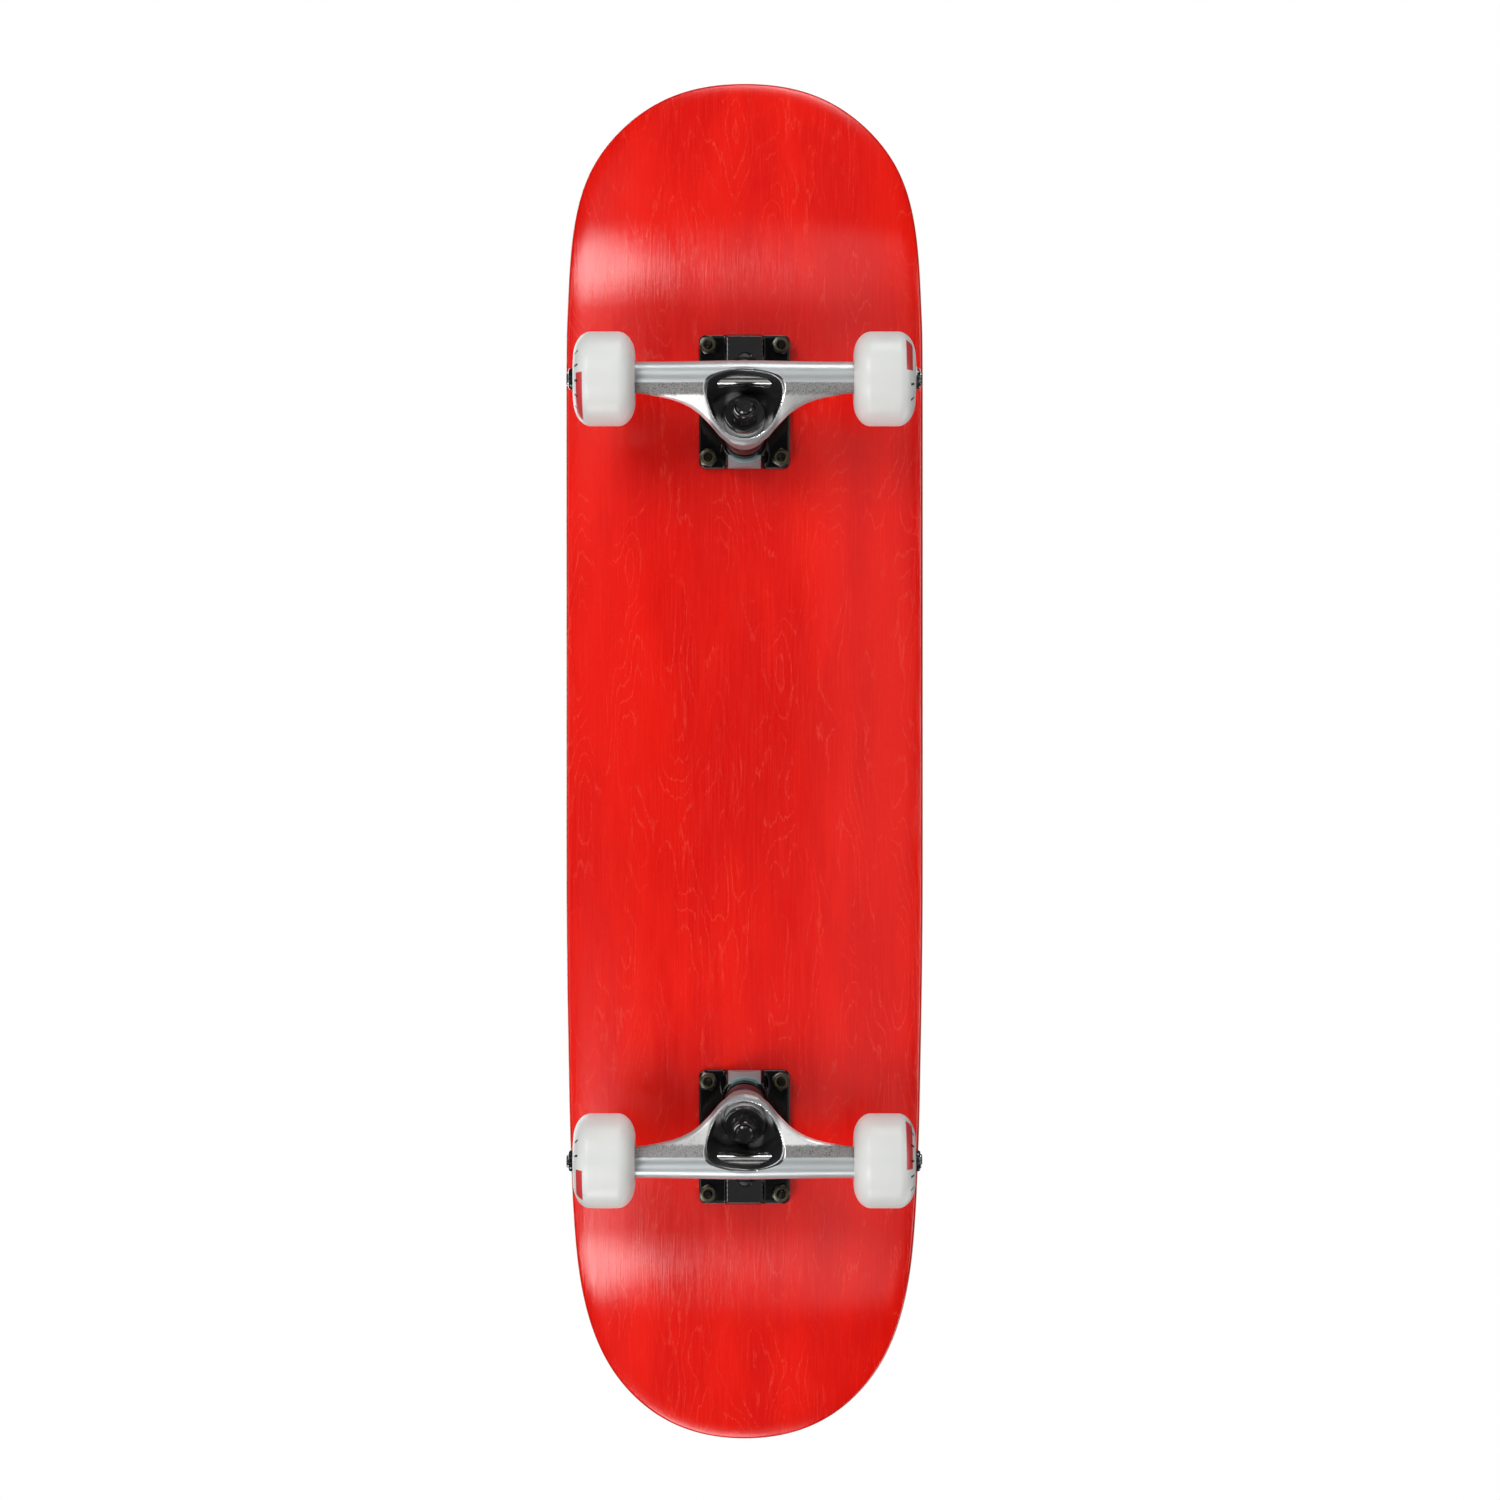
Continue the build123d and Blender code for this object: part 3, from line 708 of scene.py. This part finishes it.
def layer_shell(low, high, edge_levels, rings=13):
    """One pressed layer between two levels, closed all round."""
    shells = []
    shares = np.linspace(0, 1, rings)
    for share in shares:
        rim = LOOP - OUTWARD * edge_inset(low)
        shells.append((SPINE + (rim - SPINE) * share, low))
    for level in edge_levels:
        shells.append((LOOP - OUTWARD * edge_inset(level), level))
    for share in shares[::-1]:
        rim = LOOP - OUTWARD * edge_inset(high)
        shells.append((SPINE + (rim - SPINE) * share, high))
    points = []
    for plan, level in shells:
        heights = mould_height(plan[:, 0], plan[:, 1], level)
        points += [(a, b, c) for (a, b), c in zip(plan, heights)]
    return points, rings_to_faces(len(shells), len(LOOP), closed_rings=False)


def bolt_points():
    for end in ENDS:
        for sx in (-0.5, 0.5):
            for sy in (-0.5, 0.5):
                yield PLATE_X[end] + sx * BOLT_SPACING[0], sy * BOLT_SPACING[1]


def bolt_cutter():
    """Eight countersunk bores, as one object that is thrown away after the cut."""
    top = DECK_TOP + GRIP
    outline = [
        (0.0001, UNDER - 4),
        (SCREW_HOLE, UNDER - 4),
        (SCREW_HOLE, top - SCREW_SINK - SCREW_HEAD_DEPTH),
        (SCREW_HEAD, top - SCREW_SINK - 0.3),
        (SCREW_HEAD, top + 6),
        (0.0001, top + 6),
    ]
    points, faces = spun(outline, 48)
    shells = [([(a + x, b + y, c) for a, b, c in points], faces, 0) for x, y in bolt_points()]
    points, faces = joined(shells)[:2]
    return mesh_of("bolt_cutter", points, faces, [])


def drilled(piece, cutter):
    cut = piece.modifiers.new("bolt_holes", "BOOLEAN")
    cut.operation = "DIFFERENCE"
    cut.solver = "EXACT"
    cut.object = cutter
    settled(piece)
    smooth(piece, 40)
    return piece


def merged(name, pieces):
    """Several meshes as one object, each keeping its finish."""
    work = bmesh.new()
    made = bpy.data.meshes.new(name)
    slots = []
    for piece in pieces:
        start = len(work.faces)
        work.from_mesh(piece.data)
        work.faces.ensure_lookup_table()
        for finish in piece.data.materials:
            if finish not in slots:
                slots.append(finish)
        for face in work.faces[start:]:
            face.material_index = slots.index(piece.data.materials[face.material_index])
    work.to_mesh(made)
    work.free()
    for finish in slots:
        made.materials.append(finish)
    for piece in pieces:
        bpy.data.objects.remove(piece)
    whole = bpy.data.objects.new(name, made)
    bpy.context.scene.collection.objects.link(whole)
    smooth(whole, 40)
    return whole


def edge_marks(faces, rings=13):
    """Marks the faces past the flat of a layer, where the edge's bare wood starts."""
    steps = len(LOOP)
    first = (rings - 1) * steps
    last = len(faces) - (rings - 1) * steps
    return [1 if first <= index < last else 0 for index in range(len(faces))]


def make_deck():
    stain = stained_maple()
    pale, deep = bare_maple("maple_long_grain", 1.0), bare_maple("maple_cross_grain", 0.72)
    grit = grip_paper()
    cutter = bolt_cutter()

    def layer(name, index, finishes):
        low, high = index * PLY, (index + 1) * PLY
        points, faces = layer_shell(low, high, np.linspace(low, high, 5)[1:-1])
        made = mesh_of(name, points, faces, finishes, edge_marks(faces))
        return drilled(made, cutter)

    fit(layer("stained_bottom_ply", 0, [stain, stain]), "board", "stained_veneer", "deck_bottom_ply")
    cores = [layer(f"core_{k}", k, [deep if k in (2, 4) else pale] * 2) for k in range(1, PLIES - 1)]
    fit(merged("core_plies", cores), "board", "maple_core", "deck_core_plies")
    fit(layer("top_ply", PLIES - 1, [pale, pale]), "board", "maple_top", "deck_top_ply")
    points, faces = layer_shell(DECK_THICKNESS, DECK_THICKNESS + GRIP, [])
    sheet = drilled(mesh_of("grip_sheet", points, faces, [grit]), cutter)
    fit(sheet, "board", "grip_tape", "grip_tape")
    bpy.data.objects.remove(cutter)


# ---------------------------------------------------------------- trucks

def casting(name, node, voxel, passes, finish):
    """A copy of a CAD casting with its edges eased the way poured metal is."""
    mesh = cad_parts[node].data.copy()
    work = bmesh.new()
    work.from_mesh(mesh)
    bmesh.ops.remove_doubles(work, verts=work.verts, dist=2e-6)
    work.to_mesh(mesh)
    work.free()
    mesh.materials.clear()
    made = bpy.data.objects.new(name, mesh)
    bpy.context.scene.collection.objects.link(made)
    skin = made.modifiers.new("skin", "REMESH")
    skin.mode = "VOXEL"
    skin.voxel_size = voxel * MM
    skin.adaptivity = 0
    ease = made.modifiers.new("ease", "SMOOTH")
    ease.factor = 0.5
    ease.iterations = passes
    settled(made)
    made.data.materials.clear()
    made.data.materials.append(finish)
    made.data.polygons.foreach_set("use_smooth", [True] * len(made.data.polygons))
    return made


def kingpin_place(end):
    """Frame at the middle of the ring, Z along the kingpin towards the road."""
    outward = ENDS[end]
    down = Vector((outward * math.sin(KINGPIN_LEAN), 0, -math.cos(KINGPIN_LEAN)))
    ahead = Vector((outward * math.cos(KINGPIN_LEAN), 0, math.sin(KINGPIN_LEAN)))
    across = down.cross(ahead)
    spot = Vector((PLATE_X[end] + outward * RING_X, 0, UNDER + RING_Z))
    matrix = Matrix((ahead, across, down)).transposed().to_4x4()
    matrix.translation = spot
    return matrix


def make_bushings(end, firm, soft):
    """Barrel by the board and cone by the road, each between its washer and the ring that leans."""
    barrel = [
        (BUSHING_BORE, BARREL_SEAT),
        (9.9, BARREL_SEAT),
        (10.0, -14.9),
        (11.5, -12.4),
        (11.6, -8.6),
        (11.2, -7.0),
        (11.1, -RING_FACE),
        (LEANING_BORE, -RING_FACE),
    ]
    cone = [
        (LEANING_BORE, RING_FACE),
        (11.0, RING_FACE),
        (11.1, 8.0),
        (10.6, 10.4),
        (10.15, 12.5),
        (10.1, CONE_SEAT),
        (BUSHING_BORE, CONE_SEAT),
    ]
    where = kingpin_place(end)
    sides = (
        ("board_side", barrel, BARREL_SEAT, -RING_FACE, firm),
        ("road_side", cone, CONE_SEAT, RING_FACE, soft),
    )
    for side, outline, seat, ring_face, urethane in sides:
        points, faces = spun(eased(outline, 0.9), 96)
        made = mesh_of(f"{end}_bushing_{side}_moulded", placed(points, where), faces, [urethane])
        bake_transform(made)
        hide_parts(f"{end}_bushing_{side}")


def make_kingpin_nut(end, steel):
    collar = [(6.4, 5.5), (6.4, 6.6), (6.1, 7.2), (5.5, 7.5), (5.15, 7.5), (4.95, 7.2), (4.85, 6.6)]
    body, body_faces = hex_nut(KINGPIN_NUT_FLATS, 5.5, 4.85, 7.1, collar)
    lift = kingpin_place(end) @ Matrix.Translation((0, 0, KINGPIN_NUT_SEAT))
    made = mesh_of(f"{end}_kingpin_lock_nut", placed(body, lift), body_faces, [steel], crease=28)
    fit(made, "board", "black_kingpin", f"{end}_kingpin_nut")


def make_lock_nuts(zinc, nylon):
    """Eight nuts, each with the nylon ring that grips the thread."""
    collar = [
        (4.45, 4.1),
        (4.45, 4.6),
        (4.2, 5.05),
        (3.75, 5.2),
        (3.55, 5.2),
        (3.5, 4.9),
        (2.55, 4.6),
        (2.48, 4.0),
    ]
    nut = hex_nut(LOCK_NUT_FLATS, 4.0, 2.48, 4.75, collar)
    ring = [(2.44, 3.2), (3.52, 3.2), (3.52, 5.1), (3.1, 5.25), (2.6, 5.1), (2.44, 4.8)]
    insert = spun(eased(ring, 0.15, 3), 64)
    flip = Matrix.Rotation(math.pi, 4, "X")
    shells = []
    for index, (x, y) in enumerate(bolt_points()):
        spin = Matrix.Rotation(math.radians(17 + 41 * index), 4, "Z")
        where = Matrix.Translation((x, y, UNDER - PLATE_THICKNESS)) @ flip @ spin
        shells.append((placed(nut[0], where), nut[1], 0))
        shells.append((placed(insert[0], where), insert[1], 1))
    points, faces, marks = joined(shells)
    made = mesh_of("lock_nuts_with_rings", points, faces, [zinc, nylon], marks, crease=28)
    fit(made, "board", "lock_nut_zinc", "lock_nuts")


def make_axle_nuts(end, steel):
    collar = [
        (5.8, 5.0),
        (5.8, 6.0),
        (5.5, 6.55),
        (4.9, AXLE_NUT_HEIGHT),
        (4.5, AXLE_NUT_HEIGHT),
        (4.2, 6.5),
        (4.05, 6.0),
    ]
    nut = hex_nut(AXLE_NUT_FLATS, 5.0, 4.05, 6.4, collar)
    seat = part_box(f"{end}_axle_nuts")[1].y / MM - AXLE_NUT_HEIGHT
    shells = []
    for side in HANDS.values():
        facing = Matrix.Rotation(math.radians(-90 * side), 4, "X")
        spin = Matrix.Rotation(math.radians(11 + 13 * side), 4, "Z")
        where = Matrix.Translation((AXLE[end].x, side * seat, AXLE[end].z)) @ facing @ spin
        shells.append((placed(nut[0], where), nut[1], 0))
    points, faces, marks = joined(shells)
    made = mesh_of(f"{end}_axle_lock_nuts", points, faces, [steel], marks, crease=28)
    fit(made, f"{end}_hanger", "black_axle_nut", f"{end}_axle_nuts")


def make_trucks():
    zinc = metal("aged_zinc", shade(0.10, 0.10, 0.085), shade(0.42, 0.42, 0.38), 0.30, wear_share=0.35)
    nylon = lock_ring()
    oxide, rubbed = shade(0.012, 0.012, 0.013), shade(0.05, 0.05, 0.052)
    black_steel = metal("black_oxide_steel", oxide, rubbed, 0.14, metallic=0.3, coat=0.7)
    soft = plastic("bushing_urethane", shade(0.66, 0.67, 0.66), 0.42, 0.04, 0.18)
    firm = plastic("board_side_bushing_urethane", shade(0.022, 0.022, 0.023), 0.34, 0.04, 0.25)
    make_lock_nuts(zinc, nylon)
    for end in ENDS:
        hanger = casting(f"{end}_cast_hanger", f"{end}_hanger", 0.6, 7, cast_aluminium(end))
        fit(hanger, f"{end}_hanger", "cast_hanger", f"{end}_hanger")
        enamel = black_enamel(f"{end}_black_enamel", end)
        plate = casting(f"{end}_cast_baseplate", f"{end}_baseplate", 0.55, 4, enamel)
        fit(plate, "board", "black_baseplate", f"{end}_baseplate")
        make_bushings(end, firm, soft)
        make_kingpin_nut(end, black_steel)
        make_axle_nuts(end, black_steel)


# ---------------------------------------------------------------- wheels

PRINT_TURN = {
    "front_right": -144.0,
    "front_left": -96.0,
    "rear_left": 38.0,
    "rear_right": 84.0,
}


def make_wheel(end, hand):
    """Cast urethane tyre with its stepped bore, lips and rounded shoulders."""
    out, up = WHEEL_RADIUS - LIP_RADIUS, WHEEL_HALF - TREAD_HALF
    shoulder = []
    for k in range(1, 24):
        turn = math.radians(90 * k / 24)
        shoulder.append((LIP_RADIUS + out * math.cos(turn), TREAD_HALF + up * math.sin(turn)))
    face = [
        (LIP_RADIUS, WHEEL_HALF),
        (12.0, WHEEL_HALF - 0.25),
        (11.75, WHEEL_HALF - 0.9),
        (11.6, BEARING_SEAT + 0.6),
        (BEARING_BORE, BEARING_SEAT),
    ]
    bore = [
        (BEARING_BORE, CORE_STOP + 0.1),
        (10.9, CORE_STOP),
        (9.2, CORE_STOP),
        (CORE_BORE, CORE_STOP - 0.3),
    ]
    upper = [(WHEEL_RADIUS, 3.0), (WHEEL_RADIUS, TREAD_HALF)] + shoulder + face + bore
    lower = [(radius, -height) for radius, height in reversed(upper)]
    points, faces = spun(upper + lower, 160)
    node = f"{end}_{hand}_wheel"
    finish = wheel_urethane(f"{node}_urethane", PRINT_TURN[f"{end}_{hand}"])
    made = mesh_of(f"{end}_{hand}_cast_wheel", points, faces, [finish], crease=42)
    side = HANDS[hand]
    facing = Matrix.Rotation(math.radians(-90 * side), 4, "X")
    made.matrix_world = Matrix.Translation(middle(node) * MM) @ facing
    return fit(made, f"{end}_{hand}_wheel", "wheel_urethane", node)


def make_wheels():
    for end in ENDS:
        for hand in HANDS:
            make_wheel(end, hand)


def finish_small_parts():
    """Procedural finishes for the CAD nodes that keep their own shape."""
    oxide, rubbed = shade(0.013, 0.013, 0.014), shade(0.06, 0.06, 0.062)
    black = metal("black_kingpin_steel", oxide, rubbed, 0.16, metallic=0.3, coat=0.7)
    oxide, rubbed = shade(0.009, 0.009, 0.010), shade(0.03, 0.03, 0.03)
    washer = metal("black_washer_steel", oxide, rubbed, 0.16, depth=0.02, metallic=0.3, coat=0.8)
    oxide, rubbed = shade(0.020, 0.020, 0.021), shade(0.12, 0.12, 0.12)
    screw = metal("black_screw_steel", oxide, rubbed, 0.36, wear_share=0.4)
    chrome = metal("ground_steel", shade(0.62, 0.62, 0.61), shade(0.78, 0.78, 0.77), 0.17, depth=0.02)
    plated = metal("plated_washer", shade(0.52, 0.52, 0.50), shade(0.70, 0.70, 0.68), 0.28)
    race = metal("bearing_race", shade(0.58, 0.58, 0.58), shade(0.75, 0.75, 0.75), 0.14, depth=0.01)
    shield = metal("bearing_shield", shade(0.40, 0.41, 0.42), shade(0.62, 0.62, 0.62), 0.32)
    cage = plastic("bearing_cage", shade(0.05, 0.09, 0.16), 0.45)
    cup = plastic("pivot_cup", shade(0.03, 0.03, 0.03), 0.5)
    finishes = {
        "mounting_screws": screw,
        "pivot_cup": cup,
        "kingpin": black,
        "washer_board_side": washer,
        "washer_road_side": washer,
        "axle": chrome,
        "speed_washers": plated,
        "bearing_inner_races": race,
        "bearing_spacers": plated,
        "bearing_outer_races": race,
        "bearing_shields": shield,
        "bearing_balls": chrome,
        "bearing_cages": cage,
    }
    for name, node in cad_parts.items():
        for ending, finish in finishes.items():
            if name.endswith(ending):
                node.data.materials.clear()
                node.data.materials.append(finish)


# ---------------------------------------------------------------- studio

def softbox(name, spot, target, width, height, radiance, tint=(1.0, 1.0, 1.0)):
    """A soft panel light, its brightness given as radiance."""
    lamp = bpy.data.lights.new(name, "AREA")
    lamp.shape = "RECTANGLE"
    lamp.size = width
    lamp.size_y = height
    lamp.energy = radiance * math.pi * width * height
    lamp.color = tint
    made = bpy.data.objects.new(name, lamp)
    bpy.context.scene.collection.objects.link(made)
    made.location = spot
    made.rotation_mode = "QUATERNION"
    made.rotation_quaternion = (Vector(target) - Vector(spot)).to_track_quat("-Z", "Y")
    made.visible_camera = False
    return made


def make_studio():
    scene = bpy.context.scene
    scene.view_settings.view_transform = "Standard"
    world = bpy.data.worlds.new("pale_studio")
    scene.world = world
    world.use_nodes = True
    tree = world.node_tree
    tree.nodes.clear()
    seen = tree.nodes.new("ShaderNodeBackground")
    fill = tree.nodes.new("ShaderNodeBackground")
    seen.inputs[0].default_value = shade(1, 1, 1)
    seen.inputs[1].default_value = 1.0
    fill.inputs[0].default_value = shade(1, 1, 1)
    fill.inputs[1].default_value = FILL
    path = tree.nodes.new("ShaderNodeLightPath")
    choose = tree.nodes.new("ShaderNodeMixShader")
    end = tree.nodes.new("ShaderNodeOutputWorld")
    tree.links.new(path.outputs["Is Camera Ray"], choose.inputs[0])
    tree.links.new(fill.outputs[0], choose.inputs[1])
    tree.links.new(seen.outputs[0], choose.inputs[2])
    tree.links.new(choose.outputs[0], end.inputs[0])

    softbox("nose_side_box", (1.03, -0.87, -1.36), (0.12, 0.0, 0.08), 0.80, 0.85, 7.6)
    softbox("tail_side_box", (-0.94, -0.87, -1.40), (-0.12, 0.0, 0.08), 0.80, 0.85, 7.2)
    softbox("nose_panel", (1.0, 0.25, -1.40), (0.2, 0.0, 0.08), 0.80, 1.1, 0.5)
    softbox("tail_panel", (-0.94, 0.25, -1.40), (-0.2, 0.0, 0.08), 0.80, 1.1, 0.5)
    softbox("far_side_panel", (0.0, 0.66, -1.45), (0.0, 0.66, 0.0), 3.2, 1.0, 0.30)
    softbox("near_side_box", (0.0, -2.3, -0.75), (0.0, 0.0, 0.08), 2.4, 0.8, 1.0)
    softbox("far_side_box", (0.0, 2.3, -0.75), (0.0, 0.0, 0.08), 2.4, 0.8, 3.0)
    softbox("tail_end_box", (-2.6, -0.4, -0.35), (0.0, 0.0, 0.06), 1.0, 0.7, 8.0)
    softbox("nose_end_box", (2.6, 0.4, -0.35), (0.0, 0.0, 0.06), 1.0, 0.7, 8.0)
    softbox("overhead_box", (0.3, -0.6, 2.6), (0.0, 0.0, 0.0), 2.4, 2.4, 2.2)
    softbox("overhead_rim_box", (-1.9, 1.8, 1.5), (0.0, 0.0, 0.05), 1.4, 1.4, 1.8)


def make_floor():
    """Pale floor that shows only from above, so the board can be seen from below."""
    mesh = bpy.data.meshes.new("studio_floor")
    span = np.linspace(-FLOOR_HALF, FLOOR_HALF, FLOOR_LINES)
    points = [(a, b, 0.0) for b in span for a in span]
    mesh.from_pydata(points, [], rings_to_faces(FLOOR_LINES, FLOOR_LINES, False, False))
    floor = bpy.data.objects.new("studio_floor", mesh)
    bpy.context.scene.collection.objects.link(floor)
    floor.visible_shadow = False
    floor.visible_diffuse = False
    floor.visible_glossy = False
    floor.visible_transmission = False
    f = Finish("floor_paint", roughness=0.9, specular_ior_level=0.0, emission_strength=0.62)
    at = f.place()
    cloud = f.noise(at, (0.004, 0.004, 0.004), 3.0)
    f.feed(f.skin.inputs["Base Color"], f.blend(cloud, shade(0.22, 0.22, 0.22), shade(0.26, 0.26, 0.26)))
    f.feed(f.skin.inputs["Emission Color"], f.blend(cloud, shade(0.92, 0.92, 0.91), shade(0.97, 0.97, 0.96)))
    clear = f.node("ShaderNodeBsdfTransparent")
    behind = f.node("ShaderNodeNewGeometry", out="Backfacing")
    skin = f.node("ShaderNodeMixShader", None, {0: behind, 1: Wire(f, f.skin.outputs[0]), 2: clear})
    f.tree.links.new(skin.socket, f.end.inputs[0])
    mesh.materials.append(f.material)


def make_camera():
    """Straight below the board, looking up, with the nose at the top of the frame."""
    view = bpy.data.cameras.new("underside_camera")
    view.lens = LENS
    view.sensor_width = 36.0
    view.clip_start = 0.05
    view.clip_end = 60.0
    made = bpy.data.objects.new("underside_camera", view)
    bpy.context.scene.collection.objects.link(made)
    right, up, back = Vector((0, 1, 0)), Vector((1, 0, 0)), Vector((0, 0, -1))
    matrix = Matrix((right, up, back)).transposed().to_4x4()
    matrix.translation = Vector(EYE)
    made.matrix_world = matrix
    bpy.context.scene.camera = made


make_camera()
make_studio()
make_floor()
make_deck()
make_trucks()
make_wheels()
finish_small_parts()
